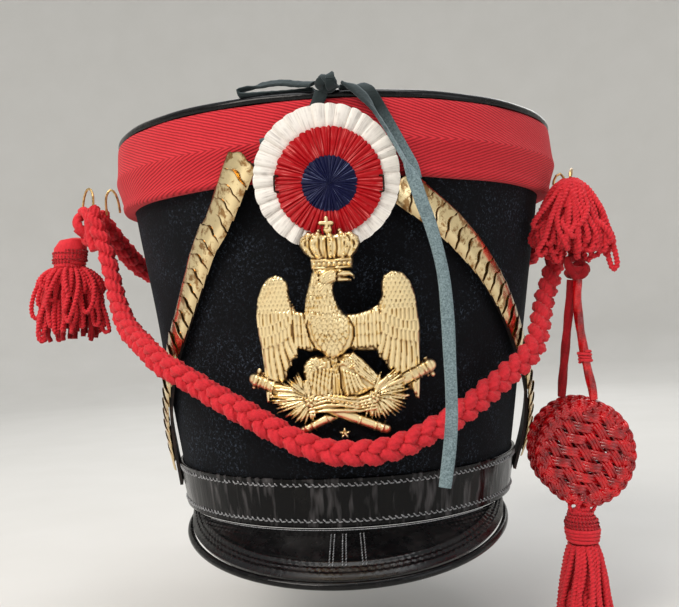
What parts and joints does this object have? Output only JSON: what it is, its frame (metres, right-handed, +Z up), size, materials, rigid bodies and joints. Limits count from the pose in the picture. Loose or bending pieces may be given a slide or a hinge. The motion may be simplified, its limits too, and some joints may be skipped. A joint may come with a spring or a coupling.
{
  "type": "shako hat",
  "caption": "Tall felt military shako, wider at the crown, with a visor, cockade, stamped eagle plate, brass chin scales, and red plaited cords with tassels and woven raquettes.",
  "frame": {"origin": "centre of the head opening, level with the lower edge of the base band", "axes": "+Z up through the crown, -Y the way the visor points, +X the side of the raquettes"},
  "size_m": [0.3338, 0.2568, 0.2804],
  "materials": {
    "felt": "matt fuzzy wool felt",
    "patent_leather": "glossy lacquered",
    "strap_leather": "semi-matt",
    "lace_suede": "matt suede",
    "gilt_brass": "bright stamped",
    "red_wool": "matt wool twill and cord",
    "red_cord": "twisted cord with a soft sheen",
    "white_satin": "pleated satin ribbon",
    "red_satin": "pleated satin ribbon",
    "navy_satin": "pleated satin ribbon"
  },
  "bodies": {
    "root": {"felt_shell": "felt", "top_band": "red_wool", "base_band": "patent_leather", "crown_top": "patent_leather", "visor": "patent_leather", "visor_rim": "patent_leather", "cockade_white": "white_satin", "cockade_red": "red_satin", "cockade_blue": "navy_satin", "cockade_pin": "gilt_brass", "cockade_staple_left": "gilt_brass", "cockade_staple_right": "gilt_brass", "eagle_plate": "gilt_brass", "chin_strap_left": "strap_leather", "chin_strap_right": "strap_leather", "chin_scales_left": "gilt_brass", "chin_scales_right": "gilt_brass", "band_hook_left": "gilt_brass", "band_hook_right": "gilt_brass", "cord_hook_left": "gilt_brass", "cord_hook_right": "gilt_brass", "front_braid": "red_wool", "back_braid": "red_wool", "left_knot": "red_cord", "left_tassel_head": "red_cord", "left_tassel_fringe": "red_wool", "right_tassel_mop": "red_wool", "right_knot": "red_cord", "raquette_front": "red_cord", "raquette_back": "red_cord", "raquette_cord_front": "red_cord", "raquette_cord_back": "red_cord", "raquette_tassel_head": "red_cord", "raquette_tassel_fringe": "red_wool", "lace_tail": "lace_suede", "lace_loop": "lace_suede", "lace_tie_left": "lace_suede", "lace_tie_right": "lace_suede", "lace_knot": "lace_suede"}
  },
  "joints": []
}
